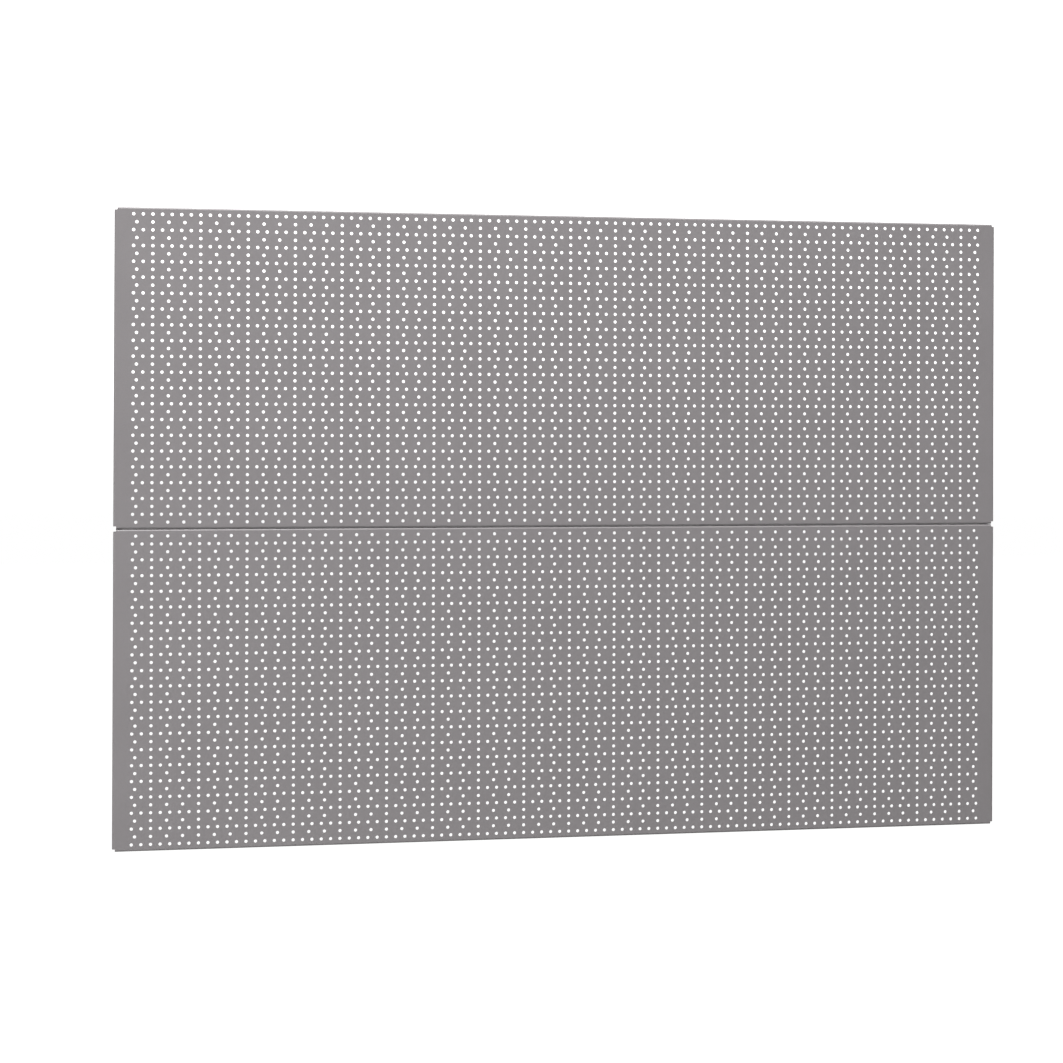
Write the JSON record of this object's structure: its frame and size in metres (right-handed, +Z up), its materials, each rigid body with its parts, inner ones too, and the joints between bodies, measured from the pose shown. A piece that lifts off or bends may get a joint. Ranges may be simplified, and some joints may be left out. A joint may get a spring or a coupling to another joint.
{
  "type": "pegboard tool wall",
  "caption": "Perforated sheet-steel peg panels with folded edges, stacked edge to edge and hung on upright wall rails by keyholes.",
  "frame": {"origin": "on the wall plane, midway between the rails and level with the seam between the two panels", "axes": "+X right along the panels, +Y into the wall, +Z up; the perforated faces look along -Y"},
  "size_m": [1.47, 0.028, 1.0179],
  "materials": {
    "panel_paint": "semi-gloss mid-grey powder coat with a fine orange peel",
    "rail_zinc": "bright galvanised steel strip",
    "screw_zinc": "bright zinc-plated steel",
    "nut_steel": "plain steel, slightly dull"
  },
  "bodies": {
    "root": {"upper_panel": "panel_paint", "lower_panel": "panel_paint", "left_rail": "rail_zinc", "right_rail": "rail_zinc", "shoulder_screw_upper_left_top": "screw_zinc", "shoulder_screw_upper_left_bottom": "screw_zinc", "shoulder_screw_upper_right_top": "screw_zinc", "shoulder_screw_upper_right_bottom": "screw_zinc", "shoulder_screw_lower_left_top": "screw_zinc", "shoulder_screw_lower_left_bottom": "screw_zinc", "shoulder_screw_lower_right_top": "screw_zinc", "shoulder_screw_lower_right_bottom": "screw_zinc", "weld_nut_upper_left_top": "nut_steel", "weld_nut_upper_left_bottom": "nut_steel", "weld_nut_upper_right_top": "nut_steel", "weld_nut_upper_right_bottom": "nut_steel", "weld_nut_lower_left_top": "nut_steel", "weld_nut_lower_left_bottom": "nut_steel", "weld_nut_lower_right_top": "nut_steel", "weld_nut_lower_right_bottom": "nut_steel"}
  },
  "joints": []
}
